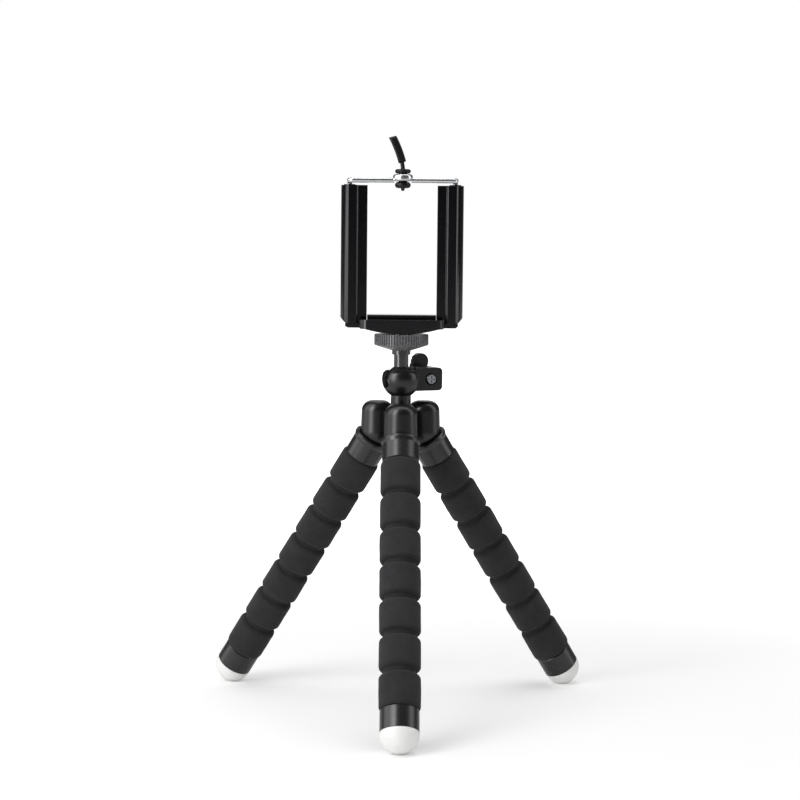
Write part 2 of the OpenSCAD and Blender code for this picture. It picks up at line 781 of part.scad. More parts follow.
module pull_tab() {
    waist_r = eye_r - yoke_r - face_gap;
    half_waist = yoke_r + eye_turn / 2 + face_gap;
    ridge = tab_w / 5;
    color("#0c0c0d") on_axis(bar_z + eye_rise) translate([0, bar_y, 0]) {
        translate([0, 0, -half_waist - cut]) cylinder(r = waist_r, h = 2 * half_waist + 2 * cut);
        translate([0, 0, half_waist]) rounded_disc(grommet_d, grommet_t);
        translate([0, 0, -half_waist - lower_t]) rounded_disc(grommet_d, lower_t);
        translate([0, 0, -half_waist - lower_t - stalk_len])
            cylinder(d1 = stalk_len, d2 = tab_neck_w, h = stalk_len + cut);
        translate([0, 0, half_waist + grommet_t - cut]) cylinder(d = tab_neck_w, h = tab_neck_len + cut);
        translate([0, 0, half_waist + grommet_t + tab_neck_len]) rotate([0, -tab_lean, 0]) {
            translate([-tab_w / 2, -tab_t / 2, -tab_neck_w / 2]) cube([tab_w, tab_t, tab_len]);
            for (side = [-1, 1]) translate([side * (tab_w / 2 - ridge), 0, 0])
                translate([-ridge / 2, -tab_t / 2 - ridge, tab_neck_w / 2])
                    cube([ridge, tab_t + 2 * ridge, tab_len - 2 * tab_neck_w]);
        }
    }
}

// Legs

module collar(leg) {
    rim_r = collar_rim_d / 2;
    end_r = collar_end_d / 2;
    flare = 1.2;
    edge = 0.4;
    color("#121213") along_leg(leg) {
        difference() {
            rotate_extrude() polygon([[0, -collar_end], [end_r - edge, -collar_end],
                [end_r, edge - collar_end], [(end_r + rim_r) / 2 - edge / 2, -rim_drop - 2 * flare],
                [rim_r, -rim_drop - flare], [rim_r, -rim_drop - edge],
                [rim_r - edge, -rim_drop], [0, -rim_drop]]);
            sphere(r = dish_r);
            translate([0, 0, -collar_end - cut])
                cylinder(d = wire_d + 2 * socket_gap, h = wire_grip + cut);
        }
        rotate([90, 0, 0]) linear_extrude(height = tongue_t, center = true) {
            circle(r = tongue_r);
            translate([-tongue_r, -dish_r - edge]) square([2 * tongue_r, dish_r + edge]);
        }
        crosswise(trunnion_d, tongue_t + 2 * trunnion_len);
    }
}

module core_wire(leg) {
    top = collar_end - wire_grip + socket_gap;
    color("#8f9296") along_leg(leg) translate([0, 0, -foam_end - wire_grip + socket_gap])
        cylinder(d = wire_d, h = foam_end + wire_grip - socket_gap - top);
}

// Where a round shoulder meets a flank that starts at z, faces up or down and leans back
function flank_z(x, z, up, lean, root) = z - up * (root + x * tan(lean));
function shoulder_centre(z, up, lean, root) = let (x = foam_d / 2 - shoulder_r)
    [x, flank_z(x, z, up, lean, root) - up * shoulder_r / cos(lean)];

// One bending length of the sleeve. Its lower end is a hollow ball about the bend,
// and its upper end is cupped round the ball of the length above
module foam(leg, k) {
    r = foam_d / 2;
    neck_r = foam_neck_d / 2;
    bore = wire_d / 2 + wire_gap;
    low = -collar_end - k * foam_pitch;
    high = low + foam_pitch;
    // The two ends of the sleeve are flat, and every other end is half a groove
    top = k == 1;
    bottom = k == segments;
    high_lean = top ? 0 : groove_flank;
    high_root = top ? 0 : groove_root;
    low_lean = bottom ? 0 : groove_flank;
    low_root = bottom ? 0 : groove_root;
    high_c = shoulder_centre(high, 1, high_lean, high_root);
    low_c = shoulder_centre(low, -1, low_lean, low_root);
    color("#2d2d2f") along_leg(leg) rotate_extrude() difference() {
        union() {
            polygon([[bore, flank_z(bore, low, -1, low_lean, low_root)],
                low_c + shoulder_r * [sin(low_lean), -cos(low_lean)], low_c, [r, low_c[1]],
                [r, high_c[1]], high_c, high_c + shoulder_r * [sin(high_lean), cos(high_lean)],
                [bore, flank_z(bore, high, 1, high_lean, high_root)]]);
            translate(low_c) circle(r = shoulder_r);
            translate(high_c) circle(r = shoulder_r);
            if (!bottom) intersection() {
                translate([0, low]) circle(r = neck_r);
                translate([bore, low - neck_r]) square([neck_r, neck_r + shoulder_r]);
            }
        }
        if (!top) translate([0, high]) circle(r = neck_r + running_gap);
    }
}

module end_ring(leg) {
    edge = 0.3;
    color("#121213") along_leg(leg) difference() {
        rotate_extrude() polygon([[0, -ring_end], [foot_r, -ring_end], [foot_r, -foam_end - edge],
            [foot_r - edge, -foam_end], [0, -foam_end]]);
        translate([0, 0, -foam_end - wire_grip]) cylinder(d = wire_d + 2 * socket_gap, h = wire_grip + cut);
        translate([0, 0, -ring_end - cut])
            cylinder(d = foot_plug_d + 2 * socket_gap, h = foot_plug_len + socket_gap + cut);
    }
}

module foot(leg) {
    color("#f2f2ef") difference() {
        along_leg(leg) {
            rotate_extrude() {
                translate([0, -leg_len]) square([foot_r, foot_skirt]);
                intersection() {
                    translate([0, -leg_len]) circle(r = foot_r);
                    translate([0, -leg_len - foot_r]) square([foot_r, foot_r + foot_skirt / 2]);
                }
            }
            translate([0, 0, -leg_len]) cylinder(d = foot_plug_d, h = foot_skirt + foot_plug_len);
        }
        translate([-foot_reach, -foot_reach, -foot_r])
            cube([2 * foot_reach, 2 * foot_reach, foot_r]);
    }
}

if (shown("hub_body")) hub_body();
if (shown("hub_screw")) hub_screw();
if (shown("ball_cup")) ball_cup();
if (shown("clamp_screw")) clamp_screw();
if (shown("clamp_lever")) clamp_lever();
if (shown("clamp_nut")) clamp_nut();
if (shown("ball_post")) ball_post();
if (shown("camera_stud")) camera_stud();
if (shown("locking_ring")) locking_ring();
if (shown("clip_base")) clip_base();
if (shown("base_cover")) base_cover();
if (shown("thread_insert")) thread_insert();
if (shown("rail_screws")) rail_screws();
if (shown("shelf_strip")) shelf_strip();
if (shown("left_rail")) left_rail();
if (shown("right_rail")) right_rail();
if (shown("rail_guides")) rail_guides();
if (shown("left_spring")) left_spring();
if (shown("right_spring")) right_spring();
if (shown("yoke")) yoke();
if (shown("yoke_stops")) yoke_stops();
if (shown("pull_tab")) pull_tab();
for (leg = LEGS) {
    if (shown(str(leg, "_collar"))) collar(leg);
    if (shown(str(leg, "_core_wire"))) core_wire(leg);
    if (shown(str(leg, "_end_ring"))) end_ring(leg);
    if (shown(str(leg, "_foot"))) foot(leg);
    for (k = [1:segments]) if (shown(str(leg, "_foam_", k))) foam(leg, k);
}
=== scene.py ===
import json
import math

import bpy
from mathutils import Matrix, Vector, noise


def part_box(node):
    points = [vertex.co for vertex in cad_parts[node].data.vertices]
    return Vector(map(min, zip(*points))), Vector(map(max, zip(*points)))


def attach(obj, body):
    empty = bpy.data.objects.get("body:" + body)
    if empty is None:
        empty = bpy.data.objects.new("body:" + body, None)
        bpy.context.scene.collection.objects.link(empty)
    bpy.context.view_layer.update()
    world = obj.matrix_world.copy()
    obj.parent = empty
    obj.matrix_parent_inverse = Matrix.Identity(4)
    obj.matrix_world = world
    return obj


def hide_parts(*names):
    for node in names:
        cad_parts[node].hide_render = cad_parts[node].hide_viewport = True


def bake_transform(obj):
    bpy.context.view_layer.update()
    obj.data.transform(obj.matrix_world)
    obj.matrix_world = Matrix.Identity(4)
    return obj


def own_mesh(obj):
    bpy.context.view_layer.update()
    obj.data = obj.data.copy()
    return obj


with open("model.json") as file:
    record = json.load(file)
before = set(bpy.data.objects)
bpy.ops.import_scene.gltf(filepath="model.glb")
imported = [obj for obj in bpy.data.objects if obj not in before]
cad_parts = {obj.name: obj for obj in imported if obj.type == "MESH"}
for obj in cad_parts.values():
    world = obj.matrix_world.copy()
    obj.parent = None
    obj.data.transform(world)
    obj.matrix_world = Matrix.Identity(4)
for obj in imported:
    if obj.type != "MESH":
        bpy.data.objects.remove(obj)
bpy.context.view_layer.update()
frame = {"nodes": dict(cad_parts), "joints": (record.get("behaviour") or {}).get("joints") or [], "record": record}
MM = 0.001


# Hub
# A three-lobed hub carries the legs, each on two pin stubs in the slot of its lobe.
# It is injection moulded in black ABS, and one screw from below draws the ball cup into it.

def linear(colour):
    """An sRGB hex colour as the linear RGBA that shaders take."""
    channels = [int(colour[i:i + 2], 16) / 255 for i in (1, 3, 5)]
    return [c / 12.92 if c <= 0.04045 else ((c + 0.055) / 1.055) ** 2.4 for c in channels] + [1.0]


def add(tree, kind, sockets, **settings):
    """Adds a node with its settings; a socket takes a value, or the output that it is linked to."""
    node = tree.nodes.new(kind)
    for name, value in settings.items():
        setattr(node, name, value)
    for name, value in sockets.items():
        if isinstance(value, bpy.types.NodeSocket):
            tree.links.new(value, node.inputs[name])
        else:
            node.inputs[name].default_value = value
    return node


def new_finish(name, colour, **shader_values):
    """A material with its shader set to plain values, its node tree and its Object coordinates."""
    material = bpy.data.materials.new(name)
    material.use_nodes = True
    tree = material.node_tree
    shader = tree.nodes["Principled BSDF"]
    shader.inputs["Base Color"].default_value = linear(colour)
    for socket, value in shader_values.items():
        shader.inputs[socket.replace("_", " ")].default_value = value
    place = add(tree, "ShaderNodeTexCoord", {}).outputs["Object"]
    return material, tree, shader, place


def dress(material, *nodes):
    """Gives CAD nodes their finish."""
    for name in nodes:
        slots = frame["nodes"][name].data.materials
        slots.clear()
        slots.append(material)


# Injection moulded ABS from a spark-eroded tool: near black, a satin gloss that shifts softly over
# a few millimetres, and a fine even grain. The grain is 0.1 mm, drawn at 0.35 mm so that it shows
moulded_abs, tree, shader, place = new_finish("moulded_abs", "#101011", IOR=1.53)
flow = add(tree, "ShaderNodeTexNoise", {"Vector": place, "Scale": 1 / (6 * MM), "Detail": 3.0})
gloss = add(tree, "ShaderNodeMapRange", {"Value": flow.outputs["Fac"], "To Min": 0.26, "To Max": 0.36})
tree.links.new(gloss.outputs["Result"], shader.inputs["Roughness"])
grain = add(tree, "ShaderNodeTexNoise", {"Vector": place, "Scale": 1 / (0.35 * MM), "Detail": 2.0})
relief = add(tree, "ShaderNodeBump", {"Height": grain.outputs["Fac"], "Strength": 0.12, "Distance": 0.05 * MM})
tree.links.new(relief.outputs["Normal"], shader.inputs["Normal"])
dress(moulded_abs, "hub_body")

# Zinc plated steel screws: a soft grey metal with a faint blotchy bloom from the bath
zinc_plate, tree, shader, place = new_finish("zinc_plated_steel", "#a9acb0", Metallic=1.0)
bloom = add(tree, "ShaderNodeTexNoise", {"Vector": place, "Scale": 1 / (1.2 * MM), "Detail": 4.0})
gloss = add(tree, "ShaderNodeMapRange", {"Value": bloom.outputs["Fac"], "To Min": 0.14, "To Max": 0.26})
tree.links.new(gloss.outputs["Result"], shader.inputs["Roughness"])
dress(zinc_plate, "hub_screw")


# Legs
# Each leg is a soft steel wire in a foam sleeve, between a glossy collar at the hub and a ring with a
# white rubber foot. The grooves of the sleeve are where it bends.

LEGS = ("left", "right", "front")
SEGMENTS = 7
FOAM_R = 7.6 * MM
SHOULDER_R = 1.3 * MM
NECK_R = 5.72 * MM
NECK_FILLET, NECK_FILLET_DROP, NECK_FLAT = 0.4 * MM, 0.45 * MM, 0.3 * MM
GROOVE_SLOPE = 9
WIRE_R = 1.6 * MM
BORE_R = 1.8 * MM
WIRE_GRIP = 3.1 * MM
GROOVE_HALF = 1.18 * MM
END_RING = 8.2 * MM
FOOT_R = 7.1 * MM
FOOT_SKIRT = 0.6 * MM


def arc(centre_r, centre_z, radius, first, last, steps):
    """Points of a profile on an arc, from one angle to another, in degrees from the outward direction."""
    turns = [math.radians(first + (last - first) * i / steps) for i in range(steps + 1)]
    return [(centre_r + radius * math.cos(t), centre_z + radius * math.sin(t)) for t in turns]


def turned(name, profile, hollow=False, around=64):
    """A round piece about Z: a disc, or a ring for a hollow piece, is extruded and resized through a profile
    of (radius, height), and the last ring of a hollow piece joins the first."""
    bpy.ops.object.select_all(action="DESELECT")
    radius, height = profile[0]
    bpy.ops.mesh.primitive_circle_add(vertices=around, radius=radius, location=(0, 0, 0),
                                      fill_type="NOTHING" if hollow else "NGON")
    piece = bpy.context.object
    piece.name = piece.data.name = name
    bpy.ops.object.mode_set(mode="EDIT")
    bpy.ops.transform.translate(value=(0, 0, height))
    for next_radius, next_height in profile[1:] + (profile[:1] if hollow else []):
        bpy.ops.mesh.extrude_region_move(TRANSFORM_OT_translate={"value": (0, 0, next_height - height)})
        share = next_radius / radius
        bpy.ops.transform.resize(value=(share, share, 1), center_override=(0, 0, next_height))
        radius, height = next_radius, next_height
    bpy.ops.mesh.select_all(action="SELECT")
    bpy.ops.mesh.remove_doubles(threshold=0.001 * MM)
    bpy.ops.mesh.normals_make_consistent(inside=False)
    bpy.ops.object.mode_set(mode="OBJECT")
    bpy.ops.object.shade_smooth_by_angle(angle=math.radians(50))
    return piece


def copy_at(model, name, place):
    """A copy of a modelled piece with its own mesh, moved to its place in the mesh itself."""
    piece = bpy.data.objects.new(name, model.data.copy())
    bpy.context.scene.collection.objects.link(piece)
    piece.matrix_world = place
    bpy.ops.object.select_all(action="DESELECT")
    piece.select_set(True)
    bpy.context.view_layer.objects.active = piece
    bpy.ops.object.transform_apply(location=True, rotation=True, scale=True)
    return piece


grooves = {leg: [Vector(j["pos_m"]) for j in frame["joints"] if j["name"].startswith(leg + "_bend_")]
           for leg in LEGS}
pitch = (grooves["left"][1] - grooves["left"][0]).length
half = pitch / 2


def leg_place(leg, distance):
    """Where a piece of a leg goes: Z runs up the leg, and distance is counted down from its first groove."""
    down = (grooves[leg][-1] - grooves[leg][0]).normalized()
    turn = Vector((0, 0, 1)).rotation_difference(-down)
    return Matrix.Translation(grooves[leg][0] + distance * down) @ turn.to_matrix().to_4x4()


# Collars and end rings: the same ABS from a polished tool, so one clear streak of light runs along them,
# with faint handling scuffs along the axis, 2 mm long and drawn 0.25 mm wide
polished_abs, tree, shader, place = new_finish("polished_abs", "#1e1e1f", IOR=1.53)
stretch = add(tree, "ShaderNodeMapping", {"Vector": place, "Scale": (1 / (0.5 * MM), 1 / (0.5 * MM), 1 / (2 * MM))})
scuffs = add(tree, "ShaderNodeTexNoise", {"Vector": stretch.outputs["Vector"], "Scale": 1.0, "Detail": 4.0})
gloss = add(tree, "ShaderNodeMapRange", {"Value": scuffs.outputs["Fac"], "From Min": 0.3, "From Max": 0.75,
                                         "To Min": 0.26, "To Max": 0.33})
tree.links.new(gloss.outputs["Result"], shader.inputs["Roughness"])
for leg in LEGS:
    dress(polished_abs, leg + "_collar", leg + "_end_ring")

# Soft annealed steel wire, drawn and left bare
core_steel, tree, shader, place = new_finish("annealed_steel", "#7f8184", Metallic=1.0)
draw_marks = add(tree, "ShaderNodeTexNoise", {"Vector": place, "Scale": 1 / (0.8 * MM), "Detail": 3.0})
gloss = add(tree, "ShaderNodeMapRange", {"Value": draw_marks.outputs["Fac"], "To Min": 0.35, "To Max": 0.55})
tree.links.new(gloss.outputs["Result"], shader.inputs["Roughness"])

# Charcoal closed-cell foam with a ground skin: no gloss at all, cut cells 0.3 mm wide, drawn at 0.6 mm so that
# they show, with painted shade in the pit of each cell, and patches of paler rubbed skin a few millimetres across
foam_skin, tree, shader, place = new_finish("closed_cell_foam", "#29292a", Roughness=0.95,
                                            Sheen_Weight=0.05, Sheen_Roughness=0.6)
shader.inputs["Specular IOR Level"].default_value = 0.25
rubbed = add(tree, "ShaderNodeTexNoise", {"Vector": place, "Scale": 1 / (7 * MM), "Detail": 5.0, "Roughness": 0.62})
cells = add(tree, "ShaderNodeTexVoronoi", {"Vector": place, "Scale": 1 / (0.6 * MM), "Randomness": 1.0})
shade = add(tree, "ShaderNodeValToRGB", {"Fac": rubbed.outputs["Fac"]})
shade.color_ramp.elements[0].position, shade.color_ramp.elements[0].color = 0.3, linear("#252526")
shade.color_ramp.elements[1].position, shade.color_ramp.elements[1].color = 0.72, linear("#2f2f31")
# Each cell's colour is darkened towards its middle: painted shade in its pit
pit_shade = add(tree, "ShaderNodeMapRange", {"Value": cells.outputs["Distance"], "From Max": 0.45,
                                        "To Min": 0.78, "To Max": 1.0})
tint = add(tree, "ShaderNodeMix", {"Factor": 1.0}, data_type="RGBA", blend_type="MULTIPLY")
tree.links.new(shade.outputs["Color"], tint.inputs["A"])
tree.links.new(pit_shade.outputs["Result"], tint.inputs["B"])
tree.links.new(tint.outputs["Result"], shader.inputs["Base Color"])
fine = add(tree, "ShaderNodeTexNoise", {"Vector": place, "Scale": 1 / (0.5 * MM), "Detail": 4.0})
skin = add(tree, "ShaderNodeMath", {0: cells.outputs["Distance"], 1: fine.outputs["Fac"]}, operation="ADD")
relief = add(tree, "ShaderNodeBump", {"Height": skin.outputs["Value"], "Strength": 0.5, "Distance": 0.12 * MM})
tree.links.new(relief.outputs["Normal"], shader.inputs["Normal"])

# The sleeve is modelled a length at a time, each from the middle of one segment to the middle of the next, so
# that the bend is in the middle of the length. The first and last lengths also have the sleeve's flat ends
shoulder_z = GROOVE_HALF + SHOULDER_R * math.cos(math.radians(GROOVE_SLOPE))
upper_half = ([(FOAM_R, half * (1 - i / 8) + shoulder_z * i / 8) for i in range(8)]
              + arc(FOAM_R - SHOULDER_R, shoulder_z, SHOULDER_R, 0, GROOVE_SLOPE - 90, 8)
              + arc(NECK_R + NECK_FILLET, GROOVE_HALF - NECK_FILLET_DROP, NECK_FILLET, 90 + GROOVE_SLOPE, 180, 5)
              + [(NECK_R, NECK_FLAT)])
lower_half = [(r, -z) for r, z in reversed(upper_half)]
flat_end = half + pitch / 2
top_end = arc(FOAM_R - SHOULDER_R, flat_end - SHOULDER_R, SHOULDER_R, 90, 0, 8)
side_steps = [(FOAM_R, half + (flat_end - SHOULDER_R - half) * (1 - i / 6)) for i in range(1, 6)]
bore_top, bore_low = [(BORE_R, 0), (BORE_R, half)], [(BORE_R, -half)]
sleeve_lengths = {
    "first": turned("sleeve_first", top_end + side_steps + upper_half + lower_half + bore_low
                    + [(BORE_R, 0), (BORE_R, flat_end)], hollow=True),
    "middle": turned("sleeve_middle", upper_half + lower_half + bore_low + bore_top, hollow=True),
    "last": turned("sleeve_last", upper_half + lower_half
                   + [(r, -z) for r, z in reversed(top_end + side_steps)]
                   + [(BORE_R, -flat_end), (BORE_R, 0), (BORE_R, half)], hollow=True),
}
wire_edge, wire_steps = 0.2 * MM, 12
wire_lengths = {}
for kind, top, low in (("first", flat_end + WIRE_GRIP, -half), ("middle", half, -half),
                       ("last", half, -flat_end - WIRE_GRIP)):
    rings = [top - wire_edge + (low - top + 2 * wire_edge) * i / wire_steps for i in range(wire_steps + 1)]
    wire_lengths[kind] = turned("wire_" + kind, [(WIRE_R - wire_edge, top)] + [(WIRE_R, z) for z in rings]
                                + [(WIRE_R - wire_edge, low)])

LUMP, LUMP_HEIGHT = 8 * MM, 0.16 * MM
DIMPLE, DIMPLE_HEIGHT = 2.6 * MM, 0.05 * MM
for leg in LEGS:
    down = (grooves[leg][-1] - grooves[leg][0]).normalized()
    for k in range(1, SEGMENTS):
        kind = "first" if k == 1 else "last" if k == SEGMENTS - 1 else "middle"
        spot = grooves[leg][k - 1]
        place = leg_place(leg, (k - 1) * pitch)
        sleeve = copy_at(sleeve_lengths[kind], f"{leg}_sleeve_{k}", place)
        for v in sleeve.data.vertices:
            outward = v.co - spot - (v.co - spot).dot(down) * down
            if outward.length > 2 * BORE_R:
                swell = (LUMP_HEIGHT * noise.noise(v.co / LUMP) + DIMPLE_HEIGHT * noise.noise(v.co / DIMPLE))
                v.co += swell * outward.normalized()
        sleeve.data.materials.append(foam_skin)
        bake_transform(sleeve)
        covered = [f"{leg}_foam_{k}"] + ([f"{leg}_foam_{SEGMENTS}"] if kind == "last" else [])
        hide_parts(*covered)
        wire = copy_at(wire_lengths[kind], f"{leg}_wire_{k}", place)
        wire.data.materials.append(core_steel)
        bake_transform(wire)
        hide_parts(leg + "_core_wire")
for model in [*sleeve_lengths.values(), *wire_lengths.values()]:
    bpy.data.objects.remove(model)

# White silicone rubber feet: a soft sheen and a little light that goes through, with faint grey handling marks
white_rubber, tree, shader, place = new_finish("white_rubber", "#f4f4f2", Roughness=0.42, IOR=1.43)
shader.inputs["Subsurface Weight"].default_value = 0.15
shader.inputs["Subsurface Radius"].default_value = (1.0 * MM, 0.9 * MM, 0.8 * MM)
shader.inputs["Subsurface Scale"].default_value = 1.0
marks = add(tree, "ShaderNodeTexNoise", {"Vector": place, "Scale": 1 / (3 * MM), "Detail": 5.0})
stain = add(tree, "ShaderNodeValToRGB", {"Fac": marks.outputs["Fac"]})
stain.color_ramp.elements[0].position, stain.color_ramp.elements[0].color = 0.25, linear("#efefec")
stain.color_ramp.elements[1].position, stain.color_ramp.elements[1].color = 0.6, linear("#f7f7f5")
tree.links.new(stain.outputs["Color"], shader.inputs["Base Color"])
foot_edge = 0.25 * MM
PLUG_R, PLUG_LENGTH = 2.5 * MM, 3.4 * MM
foot_model = turned("foot", [(PLUG_R - foot_edge, PLUG_LENGTH), (PLUG_R, PLUG_LENGTH - foot_edge), (PLUG_R, 0)]
                    + arc(FOOT_R - foot_edge, -foot_edge, foot_edge, 90, 0, 4)
                    + arc(0, -FOOT_SKIRT, FOOT_R, 0, -88, 22))
for leg in LEGS:
    foot = copy_at(foot_model, leg + "_rubber_foot", leg_place(leg, SEGMENTS * pitch - pitch + END_RING))
    bpy.ops.object.mode_set(mode="EDIT")
    bpy.ops.mesh.select_all(action="SELECT")
    bpy.ops.mesh.bisect(plane_co=(0, 0, 0), plane_no=(0, 0, 1), use_fill=True, clear_inner=True,
                        threshold=0.001 * MM)
    bpy.ops.object.mode_set(mode="OBJECT")
    foot.data.materials.append(white_rubber)
    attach(foot, f"{leg}_leg_{SEGMENTS}")
    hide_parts(leg + "_foot")
bpy.data.objects.remove(foot_model)


# Ball head
# The split cup closes on the ball when the lever behind it draws the screw through the two ears.
# Cup and lever are black ABS, the ball and its post nylon, and the screw and its nut are zinc plated.

# The body of each node, for the copies that replace one
body_of = {node: body for body, nodes in frame["record"]["behaviour"]["bodies"].items() for node in nodes}


def rounded(finish, width, *nodes):
    """Merged copies of rigid nodes with their sharp edges rounded, as the mould leaves them. The faces beside
    a rounded edge keep their own normals, so that flat ones still look flat."""
    for name in nodes:
        piece = copy_at(frame["nodes"][name], name + "_moulding", Matrix())
        bpy.ops.object.mode_set(mode="EDIT")
        bpy.ops.mesh.select_all(action="SELECT")
        bpy.ops.mesh.customdata_custom_splitnormals_clear()
        bpy.ops.mesh.remove_doubles(threshold=0.001 * MM)
        bpy.ops.mesh.dissolve_limited(angle_limit=math.radians(0.5))
        bpy.ops.object.mode_set(mode="OBJECT")
        bpy.ops.object.shade_smooth_by_angle(angle=math.radians(35))
        edges = piece.modifiers.new("edges", "BEVEL")
        edges.width, edges.segments, edges.angle_limit = width, 2, math.radians(40)
        edges.harden_normals = True
        bpy.ops.object.modifier_apply(modifier="edges")
        piece.data.materials.clear()
        piece.data.materials.append(finish)
        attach(piece, body_of[name])
        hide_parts(name)


rounded(moulded_abs, 0.3 * MM, "ball_cup", "clamp_lever")
dress(zinc_plate, "clamp_screw", "clamp_nut", "camera_stud")


# Black nylon, polished by wear: a hard clear gloss that changes over a couple of millimetres, stronger than
# that of the ABS, so that the post shows a streak
polished_nylon, tree, shader, place = new_finish("polished_nylon", "#1a1a1c", IOR=1.53, Specular_IOR_Level=1.0)
wear = add(tree, "ShaderNodeTexNoise", {"Vector": place, "Scale": 1 / (2 * MM), "Detail": 3.0})
gloss = add(tree, "ShaderNodeMapRange", {"Value": wear.outputs["Fac"], "To Min": 0.1, "To Max": 0.18})
tree.links.new(gloss.outputs["Result"], shader.inputs["Roughness"])
dress(polished_nylon, "ball_post")


# Locking ring
# The ring on the camera screw is turned up against the clip to lock it. It is moulded in grey nylon, and its
# edge is knurled for grip: a flat land on every ridge and a narrow valley between.

RIDGES, VALLEY, RING_EDGE, RING_BORE_R, RING_CHAMFER = 60, 0.6 * MM, 4.2 * MM, 3.3 * MM, 0.2 * MM
SHOULDER_D = 7.1 * MM
low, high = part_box("locking_ring")
ring_r, edge_low = (high.x - low.x) / 2, high.z - RING_EDGE
ring = turned("knurled_ring", [(ring_r - RING_CHAMFER, high.z), (ring_r, high.z - RING_CHAMFER),
                               (ring_r, edge_low + RING_CHAMFER), (ring_r - RING_CHAMFER, edge_low),
                               (SHOULDER_D / 2, low.z), (RING_BORE_R, low.z), (RING_BORE_R, high.z)],
              hollow=True, around=4 * RIDGES)
for v in ring.data.vertices:
    radius = math.hypot(v.co.x, v.co.y)
    place_in_ridge = round(math.atan2(v.co.y, v.co.x) / math.tau * 4 * RIDGES) % 4
    if place_in_ridge > 1 and radius > ring_r - VALLEY:
        v.co.x, v.co.y = v.co.x * (ring_r - VALLEY) / radius, v.co.y * (ring_r - VALLEY) / radius
ring.location = ((low.x + high.x) / 2, (low.y + high.y) / 2, 0)
bpy.ops.object.transform_apply(location=True, rotation=True, scale=True)
bpy.ops.object.shade_smooth_by_angle(angle=math.radians(30))
# Grey nylon from the mould: satin, with a gloss that changes over a millimetre and paler worn spots
satin_nylon, tree, shader, place = new_finish("satin_nylon", "#666668", IOR=1.53)
worn = add(tree, "ShaderNodeTexNoise", {"Vector": place, "Scale": 1 / (1 * MM), "Detail": 4.0})
shade = add(tree, "ShaderNodeValToRGB", {"Fac": worn.outputs["Fac"]})
shade.color_ramp.elements[0].position, shade.color_ramp.elements[0].color = 0.3, linear("#5c5c5e")
shade.color_ramp.elements[1].position, shade.color_ramp.elements[1].color = 0.7, linear("#707072")
tree.links.new(shade.outputs["Color"], shader.inputs["Base Color"])
gloss = add(tree, "ShaderNodeMapRange", {"Value": worn.outputs["Fac"], "To Min": 0.2, "To Max": 0.34})
tree.links.new(gloss.outputs["Result"], shader.inputs["Roughness"])
ring.data.materials.append(satin_nylon)
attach(ring, "locking_ring")
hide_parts("locking_ring")


# Clip
# The base carries the phone shelf and two hollow rails. It is glossy black ABS with a cold cast, and the
# thread that takes the camera screw is a pressed-in brass insert.

gloss_abs, tree, shader, place = new_finish("gloss_abs", "#08080c", IOR=1.53)
flow = add(tree, "ShaderNodeTexNoise", {"Vector": place, "Scale": 1 / (9 * MM), "Detail": 3.0})
gloss = add(tree, "ShaderNodeMapRange", {"Value": flow.outputs["Fac"], "To Min": 0.11, "To Max": 0.19})
tree.links.new(gloss.outputs["Result"], shader.inputs["Roughness"])
dress(gloss_abs, "base_cover", "rail_guides")
rounded(gloss_abs, 0.25 * MM, "clip_base", "left_rail", "right_rail")
dress(zinc_plate, "rail_screws", "yoke_stops")

turned_brass, tree, shader, place = new_finish("turned_brass", "#c7a45a", Metallic=1.0)
turning = add(tree, "ShaderNodeTexNoise", {"Vector": place, "Scale": 1 / (0.5 * MM), "Detail": 2.0})
gloss = add(tree, "ShaderNodeMapRange", {"Value": turning.outputs["Fac"], "To Min": 0.2, "To Max": 0.35})
tree.links.new(gloss.outputs["Result"], shader.inputs["Roughness"])
dress(turned_brass, "thread_insert")

# Moulded black rubber: dull, with a faint uneven bloom a few millimetres across
black_rubber, tree, shader, place = new_finish("black_rubber", "#0a0a0b", IOR=1.5, Specular_IOR_Level=0.3)
bloom = add(tree, "ShaderNodeTexNoise", {"Vector": place, "Scale": 1 / (2.5 * MM), "Detail": 4.0})
gloss = add(tree, "ShaderNodeMapRange", {"Value": bloom.outputs["Fac"], "To Min": 0.32, "To Max": 0.48})
tree.links.new(gloss.outputs["Result"], shader.inputs["Roughness"])
dress(black_rubber, "shelf_strip")


# Sprung yoke
# One length of nickel plated spring wire runs down into both rails, where two springs draw it to the shelf.

bright_wire, tree, shader, place = new_finish("nickel_plated_wire", "#d3d4d6", Metallic=1.0)
draw_marks = add(tree, "ShaderNodeTexNoise", {"Vector": place, "Scale": 1 / (0.6 * MM), "Detail": 3.0})
gloss = add(tree, "ShaderNodeMapRange", {"Value": draw_marks.outputs["Fac"], "To Min": 0.2, "To Max": 0.32})
tree.links.new(gloss.outputs["Result"], shader.inputs["Roughness"])
dress(bright_wire, "yoke")

